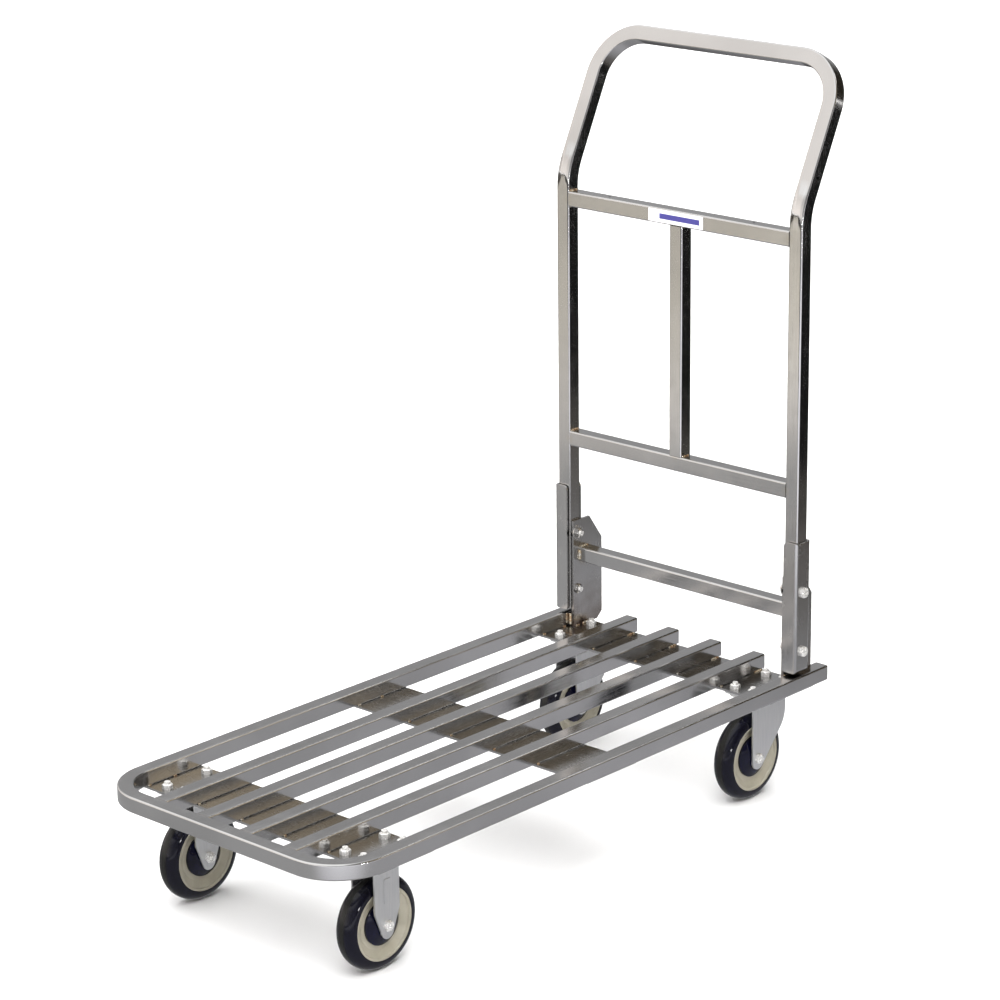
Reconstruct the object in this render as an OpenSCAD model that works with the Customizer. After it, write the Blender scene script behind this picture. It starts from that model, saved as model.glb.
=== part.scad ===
// Luggage cart: a slatted tube deck on two rigid and two swivel casters, with a tube
// handle that folds forward over the deck.
//
// +X runs along the deck towards the handle, +Y is across and +Z is up. The origin is on
// the floor, under the middle of the whole cart. Left and right are as seen by the person
// pushing, who stands behind the handle and looks along -X, so the left side is at -Y.

/* [Square tube] */
// Side of the square tube that every frame member is cut from
tube_size = 22.2; // [20:0.1:25.4]
// Wall thickness of the square tube
tube_wall = 1.5; // [1.2:0.1:2]
// Outside corner radius of the square tube
tube_corner = 2.4; // [2:0.1:3]
// Outside radius of the deck's and the handle's wide bends
bend_radius = 77; // [60:1:90]

/* [Deck] */
// Length of the deck, from its front face to the ends of the side rails
deck_length = 976; // [960:1:1060]
// Width over the outer faces of the side rails
deck_width = 454; // [436:1:500]
// Height of the deck's top face above the floor
deck_height = 184; // [182:1:190]
// Distance between the centres of neighbouring slats
slat_pitch = 79.5; // [70:0.5:84]
// Distance from the deck's front face to the rear ends of the slats
slat_reach = 955; // [930:1:960]
// Width of each flat cross strip, along the deck
strip_width = 98; // [94:1:110]
// Thickness of the cross strips
strip_thickness = 3.2; // [2.5:0.1:4]

/* [Casters] */
// Radius of the wheels
wheel_radius = 63.5; // [60:0.5:64]
// Width of the tyres
tyre_width = 31.5; // [29.5:0.5:32]
// Distance from the deck's front face to the middle of the front casters
front_caster_x = 124; // [120:1:140]
// Distance from the deck's front face to the middle of the rear casters
rear_caster_x = 900; // [896:1:904]
// Distance from a rail's outer face to the middle of its casters
caster_inset = 62; // [58:1:66]
// How far a swivel caster's axle sits ahead of its swivel axis
trail = 27.5; // [24:0.5:32]

/* [Handle] */
// Distance from the deck's front face to the front faces of the handle's legs
leg_front = 909; // [900:1:915]
// Distance from a rail's outer face to the outer face of the leg beside it
leg_inset = 6; // [5:0.5:8]
// Height at which the legs' centre lines turn back
kink_height = 846; // [843:1:900]
// Angle by which the upper part of the handle leans back
lean_angle = 26; // [15:1:30]
// Length of the leaning part, from the turn to the outside of the top bar
lean_run = 223.4; // [190:0.1:260]
// Height of the upper rung's top face
upper_rung_top = 820; // [760:1:824]
// Height of the lower rung's top face
lower_rung_top = 464; // [430:1:500]
// Height of the fold axis, which is also that of the lower bolts
pivot_height = 220; // [219:1:230]
// Distance from the lower bolts up to the upper bolts
bolt_rise = 87; // [80:1:95]

/* [Hidden] */
// Everything below is measured along the deck from its front face, across from the deck's
// centre line and up from the floor, and at_frame() moves it to the cart's own origin.
deck_half = deck_width / 2;
tube_mid = tube_size / 2;
rail_z = deck_height - tube_mid;
strip_top = deck_height - tube_size;
strip_bottom = strip_top - strip_thickness;
strip_half = deck_half - 6;
middle_strip_x = 515.5;
rear_strip_x = 902;
clear = 0.3;          // gap round a bolt's shank where it isn't a pivot
run_fit = 0.06;       // radial gap of everything that turns on a pin
past = 1;             // how far a cut runs beyond the face it opens
draw = 0.01;          // how much thinner all round a bent stretch of tube is
tuck = 0.997;         // share of a round end's radius at which straight edges cross it
round = 64;           // segments of a full turn on plain round parts

// Handle: legs, channels round their feet and upright plates inside them
leg_mid = leg_front + tube_mid;
leg_y = deck_half - leg_inset - tube_mid;
leg_inner = leg_y - tube_mid;
leg_foot = deck_height + 6;
channel_sheet = 3;
channel_gap = [1.9, 0.3];  // from the leg to the flanges, and to the web
channel_foot = deck_height + 5;
channel_length = 191;
channel_flange = 23.2;
channel_bend = 5;
channel_outer = leg_y + tube_mid + channel_gap[1] + channel_sheet;
plate_sheet = 4;
plate_outer = leg_inner - 0.6;
plate_inner = plate_outer - plate_sheet;
plate_front = leg_front + 2;
plate_rear = leg_front + 65;
plate_top = pivot_height + 106;
plate_shoulder = [27, 38];
plate_heel = [11, 10];
lock_height = pivot_height + bolt_rise;
crossbar_x = leg_front + 26;
crossbar_z = pivot_height + 52;
kink_bend = 95;
label_size = [98, 18];
label_sheet = 0.4;

// How far the handle's rear edge and top reach, with the tube's round corners counted
lean_sin = sin(lean_angle);
lean_cos = cos(lean_angle);
corner_loss = tube_corner * (lean_sin + lean_cos - 1);
cart_length = leg_mid + lean_run * lean_sin + tube_mid * lean_cos - corner_loss;

// Casters
caster_y = deck_half - caster_inset;
bolt_grid = [35, 16];
axle_x = [front_caster_x, rear_caster_x - trail];
fork_gap = 37;
fork_sheet = 2.5;
fork_bend = 6;
fork_outer = fork_gap / 2 + fork_sheet;
plate_size = [92, 62];
plate_corner = 9;
caster_plate = 2.8;
caster_plate_under = strip_bottom - caster_plate;
crown_top = caster_plate_under - 8.8;
ball_radius = 2.5;
ball_circle = 22.5;
ball_count = 26;
ball_z = crown_top + 4.4;
swivel_pin_radius = 5.5;
tread_radius = 14.5;
core_radius = 49;
guard_radius = 29.5;
guard_back = 8;
guard_face = 17.6;
bush_radius = 10;
sleeve_radius = 6;

// M8 fasteners
bolt_radius = 4;
head_radius = 7.5;
head_height = 5.3;
nut_height = 6.5;
thin_nut = 4;
washer_radius = 11;
washer_sheet = 1.6;
bolt_end = 3;

SIDES = ["left", "right"];
PLACES = ["front_left", "front_right", "rear_left", "rear_right"];

// -1 for the left side and +1 for the right side of the cart
function side_sign(name) = name == "left" ? -1 : 1;
function place_sign(name) = (name == "front_left" || name == "rear_left") ? -1 : 1;
function place_axle(name) = (name == "front_left" || name == "front_right") ? axle_x[0] : axle_x[1];

// Moves a piece from deck measurements to the cart's own origin
module at_frame() {
    translate([-cart_length / 2, 0, 0]) children();
}

// Puts a piece that is drawn for the right side on the named side
module on_side(sign) {
    mirror([0, sign < 0 ? 1 : 0, 0]) children();
}

// ---- Square tube ----------------------------------------------------------------

// Section of the tube, or of its bore when inset is the wall thickness
module tube_outline(inset) {
    side = tube_size - 2 * inset;
    corner = max(tube_corner - inset, 0.5);
    square([side - 2 * corner, side], center = true);
    square([side, side - 2 * corner], center = true);
    for (x = [-1, 1], y = [-1, 1])
        translate([x, y] * (side / 2 - corner))
            circle(corner, $fn = 24);
}

// Straight run of tube up +Z from the origin
module run_up(length, inset) {
    linear_extrude(length) tube_outline(inset);
}

// Straight tube across the cart, centred, with open ends
module tube_across(length) {
    rotate([90, 0, 0])
        difference() {
            translate([0, 0, -length / 2]) run_up(length, 0);
            translate([0, 0, -length / 2 - past]) run_up(length + 2 * past, tube_wall);
        }
}

// Bend of the tube about +Z, from angle to angle + turn, at a centre-line radius
module bend(radius, angle, turn, inset) {
    rotate([0, 0, angle])
        rotate_extrude(angle = turn, $fn = 96)
            translate([radius, 0]) tube_outline(inset + draw);
}

// ---- Deck -----------------------------------------------------------------------

// The rim's path, solid. The bore's copy runs past the open rail ends.
module rim_path(inset) {
    extra = inset > 0 ? past : 0;
    wide = bend_radius - tube_mid;
    straight = deck_width - 2 * bend_radius;
    translate([tube_mid, straight / 2, rail_z])
        rotate([90, 0, 0]) run_up(straight, inset);
    for (sign = [-1, 1])
        on_side(sign) {
            translate([bend_radius, deck_half - tube_mid, rail_z])
                rotate([0, 90, 0]) run_up(deck_length - bend_radius + extra, inset);
            translate([bend_radius, deck_half - bend_radius, rail_z])
                bend(wide, 90, 90, inset);
        }
}

module rim_tube() {
    color("lightgray")
        at_frame()
            difference() {
                rim_path(0);
                rim_path(tube_wall);
            }
}

// Slats are numbered from the right side to the left
module deck_slat(number) {
    length = slat_reach - tube_size;
    color("silver")
        at_frame()
            translate([tube_size, (2.5 - number) * slat_pitch, rail_z])
                rotate([0, 90, 0])
                    difference() {
                        run_up(length, 0);
                        translate([0, 0, -past]) run_up(length + 2 * past, tube_wall);
                    }
}

// The four bolt places of a caster whose middle is at x, on both sides of the deck
module at_caster_bolts(x) {
    for (sign = [-1, 1], i = [-1, 1], j = [-1, 1])
        translate([x + i * bolt_grid[0], sign * caster_y + j * bolt_grid[1], 0]) children();
}

module cross_strip(x, drilled) {
    color("darkgray")
        at_frame()
            difference() {
                translate([x - strip_width / 2, -strip_half, strip_bottom])
                    cube([strip_width, 2 * strip_half, strip_thickness]);
                if (drilled > 0)
                    at_caster_bolts(drilled)
                        translate([0, 0, strip_bottom - past])
                            cylinder(h = strip_thickness + 2 * past, r = bolt_radius + clear, $fn = round);
            }
}

// Upright plate: a pivot hole at the bottom and, round it, an arc slot that is open at the
// front, so that the upper bolt leaves the plate when the handle folds.
module pivot_plate_outline() {
    heel = [plate_rear - plate_heel[0], strip_top + plate_heel[1]];
    shoulder = [plate_rear - plate_shoulder[0], plate_top - plate_shoulder[1]];
    slot = bolt_radius + clear;
    difference() {
        polygon([
            [plate_front, strip_top],
            [heel[0], strip_top],
            [plate_rear, heel[1]],
            [plate_rear, shoulder[1]],
            [shoulder[0], plate_top],
            [plate_front, plate_top]
        ]);
        translate([leg_mid, pivot_height]) circle(bolt_radius + run_fit, $fn = round);
        translate([leg_mid, lock_height]) circle(slot, $fn = round);
        translate([leg_mid, pivot_height])
            intersection() {
                difference() {
                    circle(bolt_rise + slot, $fn = 128);
                    circle(bolt_rise - slot, $fn = 128);
                }
                translate([-bolt_rise / 2, 0]) square([bolt_rise / 2, 2 * bolt_rise]);
            }
    }
}

module pivot_plate(sign) {
    color("gray")
        at_frame()
            on_side(sign)
                translate([0, plate_outer, 0])
                    rotate([90, 0, 0])
                        linear_extrude(plate_sheet) pivot_plate_outline();
}

module plate_crossbar() {
    color("silver")
        at_frame()
            translate([crossbar_x, 0, crossbar_z]) tube_across(2 * plate_inner);
}

// ---- Fasteners ------------------------------------------------------------------

// Hexagon prism with its top corners rounded off, base on z = 0
module hex_block(height) {
    intersection() {
        cylinder(h = height, r = head_radius, $fn = 6);
        translate([0, 0, height - 14]) sphere(r = 14.9, $fn = round);
    }
}

// Bolt with its head below z = 0 and its shank up +Z
module hex_bolt(length) {
    rotate([180, 0, 0]) hex_block(head_height);
    cylinder(h = length, r = bolt_radius, $fn = round);
}

module hex_nut(height) {
    difference() {
        hex_block(height);
        translate([0, 0, -past]) cylinder(h = height + 2 * past, r = bolt_radius, $fn = round);
    }
}

module caster_bolts() {
    color("gainsboro")
        at_frame()
            for (x = [front_caster_x, rear_caster_x])
                at_caster_bolts(x)
                    translate([0, 0, caster_plate_under])
                        hex_bolt(strip_top - caster_plate_under + nut_height + bolt_end);
}

module caster_nuts() {
    color("gainsboro")
        at_frame()
            for (x = [front_caster_x, rear_caster_x])
                at_caster_bolts(x)
                    translate([0, 0, strip_top]) rotate([0, 0, 15]) hex_nut(nut_height);
}

// ---- Casters --------------------------------------------------------------------

// Flat plate with round corners and the four bolt holes, top face on the cross strip
module caster_top_plate() {
    half = plate_size / 2;
    translate([0, 0, caster_plate_under])
        linear_extrude(caster_plate)
            difference() {
                union() {
                    square([plate_size[0] - 2 * plate_corner, plate_size[1]], center = true);
                    square([plate_size[0], plate_size[1] - 2 * plate_corner], center = true);
                    for (i = [-1, 1], j = [-1, 1])
                        translate([i * (half[0] - plate_corner), j * (half[1] - plate_corner)])
                            circle(plate_corner, $fn = round);
                }
                for (i = [-1, 1], j = [-1, 1])
                    translate([i * bolt_grid[0], j * bolt_grid[1]])
                        circle(bolt_radius + clear, $fn = round);
            }
}

// Section of a pressed fork across the wheel: two arms and the crown between them
module fork_section(top) {
    inner_bend = fork_bend - fork_sheet;
    difference() {
        translate([-fork_outer, 0]) square([2 * fork_outer, top]);
        translate([-fork_gap / 2, -past]) square([fork_gap, top - fork_bend + past]);
        translate([-fork_outer + fork_bend, 0]) square([2 * (fork_outer - fork_bend), top - fork_sheet]);
        for (i = [-1, 1])
            translate([i * (fork_outer - fork_bend), top - fork_bend])
                circle(inner_bend, $fn = round);
        for (i = [-1, 1])
            translate([i * (fork_outer - fork_bend), top - fork_bend])
                difference() {
                    translate([i > 0 ? 0 : -2 * fork_bend, 0]) square([2 * fork_bend, 2 * fork_bend]);
                    circle(fork_bend, $fn = round);
                }
    }
}

// Direction, seen from circle a, of the point where the tangent to circles a and b rests
// on it. Each circle is [x, y, radius], and hand is +1 or -1 for the side of the line a-b.
function tangent_way(a, b, hand) =
    atan2(b[1] - a[1], b[0] - a[0])
    - hand * acos((a[2] - b[2]) / norm([b[0] - a[0], b[1] - a[1]]));

function on_circle(c, way) = [c[0] + c[2] * cos(way), c[1] + c[2] * sin(way)];

// The slightly smaller circle that an outline's straight edges touch
function tucked(c) = [c[0], c[1], c[2] * tuck];

// Side view of a rigid fork's arm: parallel, then narrowing to a round tip
module rigid_arm_outline(top) {
    half = 22;
    taper = wheel_radius + 20;
    tip = [0, wheel_radius - 8, 10.5];
    knee = [half, taper, 0];
    way = tangent_way(tucked(tip), knee, 1);
    touch = on_circle(tucked(tip), way);
    polygon([[-half, top], [half, top], [half, taper], touch, [-touch[0], touch[1]], [-half, taper]]);
    translate([tip[0], tip[1]]) circle(tip[2], $fn = round);
}

// Side view of a swivel fork's arm: straight in front, swept forward behind to a round tip
module swivel_arm_outline(top) {
    tip = [-trail, wheel_radius - 4, 12.5];
    back = [-12, wheel_radius + 62.5, 45];
    front = tip[0] - tucked(tip)[2];
    rear = back[0] + tucked(back)[2];
    way = tangent_way(tucked(tip), tucked(back), 1);
    intersection() {
        union() {
            translate([tip[0], tip[1]]) circle(tip[2], $fn = round);
            translate([back[0], back[1]]) circle(back[2], $fn = 128);
            polygon([
                [front, tip[1]],
                on_circle(tucked(tip), way),
                on_circle(tucked(back), way),
                [front, back[1]]
            ]);
            translate([front, back[1]]) square([rear - front, top - back[1]]);
        }
        translate([front, 0]) square([100, top]);
    }
}

// Solid of a fork: its cross section met with its side view, drilled for the axle
module fork(top, axle) {
    difference() {
        intersection() {
            translate([-100, 0, 0])
                rotate([90, 0, 90]) linear_extrude(200) fork_section(top);
            translate([0, 50, 0])
                rotate([90, 0, 0]) linear_extrude(100) children();
        }
        translate([axle, 50, wheel_radius])
            rotate([90, 0, 0]) cylinder(h = 100, r = bolt_radius + run_fit, $fn = round);
    }
}

// Long raised panel pressed outward in a rigid fork's arm
module rib_panel(size, depth) {
    corner = 3;
    rotate([90, 0, 0])
        linear_extrude(depth) {
            square([size[0] - 2 * corner, size[1]], center = true);
            square([size[0], size[1] - 2 * corner], center = true);
            for (i = [-1, 1], j = [-1, 1])
                translate([i * (size[0] / 2 - corner), j * (size[1] / 2 - corner)])
                    circle(corner, $fn = round);
        }
}

module rigid_fork(sign) {
    rib_z = wheel_radius + 47;
    rib_rise = 0.9;
    color("lightgray")
        at_frame()
            translate([front_caster_x, sign * caster_y, 0])
                difference() {
                    union() {
                        caster_top_plate();
                        fork(caster_plate_under, 0) rigid_arm_outline(caster_plate_under);
                        for (turn = [0, 180])
                            rotate([0, 0, turn])
                                translate([1, -fork_outer, rib_z]) rib_panel([14, 34], rib_rise);
                    }
                    for (turn = [0, 180])
                        rotate([0, 0, turn])
                            translate([1, -fork_gap / 2 + past, rib_z]) rib_panel([12, 32], rib_rise + past);
                }
}

// Groove that the ball ring runs in
module ball_groove() {
    translate([ball_circle, ball_z]) circle(ball_radius + run_fit, $fn = round);
}

module swivel_plate(sign) {
    skirt = 30;
    color("lightgray")
        at_frame()
            translate([rear_caster_x, sign * caster_y, 0]) {
                difference() {
                    caster_top_plate();
                    translate([0, 0, caster_plate_under - past])
                        cylinder(h = caster_plate + 2 * past, r = swivel_pin_radius, $fn = round);
                }
                rotate_extrude($fn = 96)
                    difference() {
                        union() {
                            translate([17, ball_z + 1.1])
                                square([skirt - 17, caster_plate_under - ball_z - 1.1]);
                            translate([skirt - 1.6, ball_z - 2.6])
                                square([1.6, 4]);
                        }
                        ball_groove();
                    }
            }
}

// Rivet that holds a swivel fork up against its balls
module swivel_pin(sign) {
    head = [10, 4.6];
    under = crown_top - fork_sheet - 0.3;
    color("gainsboro")
        at_frame()
            translate([rear_caster_x, sign * caster_y, 0]) {
                translate([0, 0, under])
                    cylinder(h = strip_bottom - under, r = swivel_pin_radius, $fn = round);
                translate([0, 0, under - head[1]])
                    intersection() {
                        cylinder(h = head[1], r = head[0], $fn = round);
                        translate([0, 0, 14]) sphere(r = 14, $fn = round);
                    }
            }
}

module swivel_balls(sign) {
    color("gainsboro")
        at_frame()
            translate([rear_caster_x, sign * caster_y, ball_z])
                for (i = [0:ball_count - 1])
                    rotate([0, 0, i * 360 / ball_count])
                        translate([ball_circle, 0, 0]) sphere(r = ball_radius, $fn = 24);
}

module swivel_fork(sign) {
    race = [15, 27.6];
    color("lightgray")
        at_frame()
            translate([rear_caster_x, sign * caster_y, 0])
                difference() {
                    union() {
                        fork(crown_top, -trail) swivel_arm_outline(crown_top);
                        rotate_extrude($fn = 96)
                            difference() {
                                translate([race[0], crown_top - 1])
                                    square([race[1] - race[0], ball_z - crown_top]);
                                ball_groove();
                            }
                    }
                    translate([0, 0, crown_top - 10])
                        cylinder(h = 20, r = swivel_pin_radius + run_fit, $fn = round);
                }
}

// Puts children, drawn round +Z, on a wheel's spin axis with +Z pointing away from the
// cart's centre line
module at_axle(x, sign) {
    translate([x, sign * caster_y, wheel_radius])
        rotate([-90 * sign, 0, 0]) children();
}

// Axle hardware of one wheel: the bolt's head is outside and the nut is inside the fork
module axle_bolt(x, sign) {
    length = 2 * fork_outer + nut_height + bolt_end;
    at_axle(x, sign)
        translate([0, 0, fork_outer]) rotate([180, 0, 0]) hex_bolt(length);
}

module axle_nut(x, sign) {
    at_axle(x, sign)
        translate([0, 0, -fork_outer]) rotate([180, 0, 0]) hex_nut(nut_height);
}

module axle_sleeve(x, sign) {
    at_axle(x, sign)
        translate([0, 0, -fork_gap / 2])
            difference() {
                cylinder(h = fork_gap, r = sleeve_radius, $fn = round);
                translate([0, 0, -past])
                    cylinder(h = fork_gap + 2 * past, r = bolt_radius + run_fit, $fn = round);
            }
}

module front_axle_bolts() {
    color("gainsboro") at_frame() for (sign = [-1, 1]) axle_bolt(axle_x[0], sign);
}

module front_axle_nuts() {
    color("gainsboro") at_frame() for (sign = [-1, 1]) axle_nut(axle_x[0], sign);
}

module front_axle_sleeves() {
    color("darkgray") at_frame() for (sign = [-1, 1]) axle_sleeve(axle_x[0], sign);
}

module rear_axle_bolt(sign) {
    color("gainsboro") at_frame() axle_bolt(axle_x[1], sign);
}

module rear_axle_nut(sign) {
    color("gainsboro") at_frame() axle_nut(axle_x[1], sign);
}

module rear_axle_sleeve(sign) {
    color("darkgray") at_frame() axle_sleeve(axle_x[1], sign);
}

// Tyre with a round tread, moulded on the core
module tyre(place) {
    flat = tyre_width / 2 - tread_radius;
    shoulder = wheel_radius - tread_radius;
    color([0.07, 0.07, 0.1])
        at_frame()
            at_axle(place_axle(place), place_sign(place))
                rotate_extrude($fn = 128) {
                    translate([core_radius, -flat]) square([wheel_radius - core_radius, 2 * flat]);
                    for (i = [-1, 1])
                        translate([shoulder, i * flat])
                            intersection() {
                                circle(tread_radius, $fn = 96);
                                translate([core_radius - shoulder, -tread_radius])
                                    square([wheel_radius, 2 * tread_radius]);
                            }
                }
}

// Moulded core: a hub, a dished web and a rim with a raised lip on each face
module wheel_core(place) {
    lip = tyre_width / 2 - 0.6;
    color([0.85, 0.8, 0.68])
        at_frame()
            at_axle(place_axle(place), place_sign(place))
                rotate_extrude($fn = 128)
                    polygon([
                        [bush_radius, -guard_back - 6], [16, -guard_back - 6], [16, -guard_back],
                        [36, -guard_back], [45, -12.5], [46.5, -lip], [core_radius, -lip],
                        [core_radius, lip], [46.5, lip], [45, 12.5], [36, guard_back],
                        [16, guard_back], [16, guard_back + 6], [bush_radius, guard_back + 6]
                    ]);
}

// The two domed thread guards, one on each face of a wheel
module thread_guards(place) {
    dome = 66.8;
    bore = sleeve_radius + 0.6;
    color([0.06, 0.06, 0.14])
        at_frame()
            at_axle(place_axle(place), place_sign(place))
                for (flip = [0, 180])
                    rotate([flip, 0, 0])
                        rotate_extrude($fn = 96)
                            difference() {
                                intersection() {
                                    translate([0, guard_face - dome + 0.4]) circle(dome, $fn = 256);
                                    translate([bore, guard_back]) square([guard_radius - bore, guard_face]);
                                }
                                translate([0, 0]) square([16.4, guard_back + 6.4]);
                            }
}

module wheel_bush(place) {
    length = 2 * (guard_back + 6);
    color("ivory")
        at_frame()
            at_axle(place_axle(place), place_sign(place))
                translate([0, 0, -length / 2])
                    difference() {
                        cylinder(h = length, r = bush_radius, $fn = round);
                        translate([0, 0, -past])
                            cylinder(h = length + 2 * past, r = sleeve_radius + run_fit, $fn = round);
                    }
}

// ---- Handle ---------------------------------------------------------------------

// Frame of the leaning part: its +Z runs up the lean and its +X points back
module at_lean() {
    translate([leg_mid, 0, kink_height]) rotate([0, lean_angle, 0]) children();
}

// The loop's path, solid. The bore's copy runs past the open feet of the legs.
module handle_path(inset) {
    extra = inset > 0 ? past : 0;
    kink = kink_bend * tan(lean_angle / 2);
    corner = bend_radius - tube_mid;
    bar_z = lean_run - tube_mid;
    for (sign = [-1, 1])
        on_side(sign) {
            translate([leg_mid, leg_y, leg_foot - extra])
                run_up(kink_height - kink - leg_foot + extra, inset);
            translate([leg_mid + kink_bend, leg_y, kink_height - kink])
                rotate([90, 0, 0]) bend(kink_bend, 180 - lean_angle, lean_angle, inset);
            at_lean() {
                translate([0, leg_y, kink]) run_up(bar_z - corner - kink, inset);
                translate([0, leg_y - corner, bar_z - corner])
                    rotate([90, 0, 90]) bend(corner, 0, 90, inset);
            }
        }
    at_lean()
        translate([0, leg_y - corner, bar_z])
            rotate([90, 0, 0]) run_up(2 * (leg_y - corner), inset);
}

// Drills across the whole handle at the pivot and lock bolts
module bracket_drill(radius) {
    for (z = [pivot_height, lock_height])
        translate([leg_mid, deck_half, z])
            rotate([90, 0, 0]) cylinder(h = deck_width, r = radius, $fn = round);
}

module handle_loop() {
    vent = [2.7, 50];
    color("lightgray")
        at_frame()
            difference() {
                handle_path(0);
                handle_path(tube_wall);
                bracket_drill(bolt_radius + clear);
                at_lean()
                    translate([0, deck_half, vent[1]])
                        rotate([90, 0, 0]) cylinder(h = deck_width, r = vent[0], $fn = round);
            }
}

module rung(top) {
    color("silver")
        at_frame()
            translate([leg_mid, 0, top - tube_mid]) tube_across(2 * leg_inner);
}

module upper_rung() {
    vent = [1.8, 130];
    difference() {
        rung(upper_rung_top);
        color("silver")
            at_frame()
                for (sign = [-1, 1])
                    translate([leg_mid, sign * vent[1], upper_rung_top - tube_wall - past])
                        cylinder(h = tube_wall + 2 * past, r = vent[0], $fn = round);
    }
}

module lower_rung() {
    rung(lower_rung_top);
}

module centre_spindle() {
    length = upper_rung_top - tube_size - lower_rung_top;
    color("silver")
        at_frame()
            translate([leg_mid, 0, lower_rung_top])
                difference() {
                    run_up(length, 0);
                    translate([0, 0, -past]) run_up(length + 2 * past, tube_wall);
                }
}

// Square bite that leaves a round corner of the given radius on what it is cut from. The
// corner is at the origin and the material lies towards +X and +Y.
module corner_bite(radius) {
    difference() {
        translate([-past, -past]) square(radius + past);
        translate([radius, radius]) circle(radius, $fn = round);
    }
}

// Section of a channel, seen from above: its web is outside the leg and its open side
// faces the centre line
module channel_section() {
    depth = tube_size + 2 * (channel_gap[0] + channel_sheet);
    inner = channel_bend - channel_sheet;
    difference() {
        translate([leg_mid - depth / 2, channel_outer - channel_flange]) square([depth, channel_flange]);
        translate([leg_mid - depth / 2 + channel_sheet, channel_outer - channel_flange - past])
            square([depth - 2 * channel_sheet, channel_flange - channel_bend + past]);
        translate([leg_mid - depth / 2 + channel_bend, channel_outer - channel_bend - past])
            square([depth - 2 * channel_bend, channel_bend - channel_sheet + past]);
        for (i = [-1, 1])
            translate([leg_mid + i * (depth / 2 - channel_bend), channel_outer - channel_bend])
                circle(inner, $fn = round);
        for (i = [0, 1])
            translate([leg_mid, channel_outer])
                mirror([i, 0])
                    translate([-depth / 2, 0])
                        mirror([0, 1]) corner_bite(channel_bend);
    }
}

// Bites that round the corners of both flanges, at the free edge and at the web
module channel_corner_cuts() {
    free = channel_outer - channel_flange;
    top = channel_foot + channel_length;
    translate([leg_mid - 25, 0, 0])
        rotate([90, 0, 90])
            linear_extrude(50) {
                translate([free, channel_foot]) corner_bite(4);
                translate([free, top]) mirror([0, 1]) corner_bite(7);
                translate([channel_outer, channel_foot]) mirror([1, 0]) corner_bite(5);
                translate([channel_outer, top]) mirror([1, 0]) mirror([0, 1]) corner_bite(2.5);
            }
}

module leg_channel(sign) {
    color("darkgray")
        at_frame()
            on_side(sign)
                difference() {
                    translate([0, 0, channel_foot]) linear_extrude(channel_length) channel_section();
                    bracket_drill(bolt_radius + clear);
                    channel_corner_cuts();
                }
}

// Puts children, drawn round +Z, on both bolts of one height, +Z pointing outward
module at_bracket(height, y) {
    for (sign = [-1, 1])
        on_side(sign)
            translate([leg_mid, y, height]) rotate([-90, 0, 0]) children();
}

// Bolts from outside the channels to the nuts inside the plates, over washers of a thickness
module bracket_bolts(height, washer) {
    length = channel_outer - plate_inner + washer + thin_nut + bolt_end;
    color("gainsboro")
        at_frame()
            at_bracket(height, channel_outer) rotate([180, 0, 0]) hex_bolt(length);
}

module pivot_bolts() {
    bracket_bolts(pivot_height, 0);
}

module lock_bolts() {
    bracket_bolts(lock_height, washer_sheet);
}

// Wide washers that bridge the plates' slots
module lock_washers() {
    color("gainsboro")
        at_frame()
            at_bracket(lock_height, plate_inner - washer_sheet)
                difference() {
                    cylinder(h = washer_sheet, r = washer_radius, $fn = round);
                    translate([0, 0, -past])
                        cylinder(h = washer_sheet + 2 * past, r = bolt_radius, $fn = round);
                }
}

module bracket_nuts() {
    color("gainsboro")
        at_frame() {
            at_bracket(pivot_height, plate_inner) rotate([180, 0, 0]) hex_nut(thin_nut);
            at_bracket(lock_height, plate_inner - washer_sheet) rotate([180, 0, 0]) hex_nut(thin_nut);
        }
}

// Blank label on the front face of the upper rung
module blank_label() {
    color("white")
        at_frame()
            translate([
                leg_front - label_sheet,
                -label_size[0] / 2,
                upper_rung_top - tube_mid - label_size[1] / 2
            ])
                cube([label_sheet, label_size[0], label_size[1]]);
}

// ---- Nodes ----------------------------------------------------------------------

rim_tube();
for (i = [1:4]) deck_slat(i);
cross_strip(front_caster_x, front_caster_x);  // cross_strip_front
cross_strip(middle_strip_x, 0);  // cross_strip_middle
cross_strip(rear_strip_x, rear_caster_x);  // cross_strip_rear
for (s = SIDES) pivot_plate(side_sign(s));
plate_crossbar();
for (s = SIDES) rigid_fork(side_sign(s));
for (s = SIDES) swivel_plate(side_sign(s));
for (s = SIDES) swivel_pin(side_sign(s));
for (s = SIDES) swivel_balls(side_sign(s));
caster_bolts();
caster_nuts();
front_axle_bolts();
front_axle_nuts();
front_axle_sleeves();
for (s = SIDES) swivel_fork(side_sign(s));
for (s = SIDES) rear_axle_bolt(side_sign(s));
for (s = SIDES) rear_axle_nut(side_sign(s));
for (s = SIDES) rear_axle_sleeve(side_sign(s));
for (p = PLACES) tyre(p);
for (p = PLACES) wheel_core(p);
for (p = PLACES) thread_guards(p);
for (p = PLACES) wheel_bush(p);
handle_loop();
upper_rung();
lower_rung();
centre_spindle();
for (s = SIDES) leg_channel(side_sign(s));
pivot_bolts();
lock_bolts();
lock_washers();
bracket_nuts();
blank_label();
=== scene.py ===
"""Looks of the luggage cart: camera, light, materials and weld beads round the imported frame.

Everything is in metres in the row frame: +X along the deck towards the handle, +Y to the
right of the person pushing, +Z up, the floor at z = 0. Places are read from the CAD nodes.
"""

import math

import bmesh
import bpy
from mathutils import Matrix, Vector

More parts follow.
